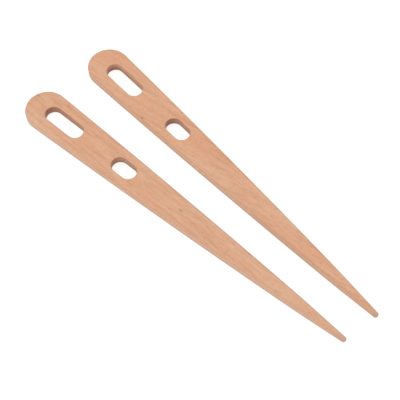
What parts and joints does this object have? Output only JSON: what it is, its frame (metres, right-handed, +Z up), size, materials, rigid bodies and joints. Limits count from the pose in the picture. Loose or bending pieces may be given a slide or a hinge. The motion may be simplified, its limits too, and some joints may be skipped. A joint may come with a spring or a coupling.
{
  "type": "weaving needle",
  "caption": "Flat tapered wooden weaving needles with a round head, slot-shaped eyes for yarn near the head and a blunt sanded tip, lying loose side by side.",
  "frame": {"origin": "under the middle of the pair's bounding box, on the plane that the needles lie on", "axes": "+X from the heads to the tips, along the middle line between the two needles; +Y from the front needle to the rear needle; +Z up, through the thickness"},
  "size_m": [0.2024, 0.0624, 0.0049],
  "materials": {
    "beech": "plain sanded beech, satin, no varnish"
  },
  "bodies": {
    "front_needle": {"front_needle": "beech"},
    "rear_needle": {"rear_needle": "beech"}
  },
  "joints": [
    {"name": "rear_needle_lift", "type": "slide", "parent": "front_needle", "child": "rear_needle", "axis": [0, 0, 1], "range_m": [0, 0.06]}
  ]
}
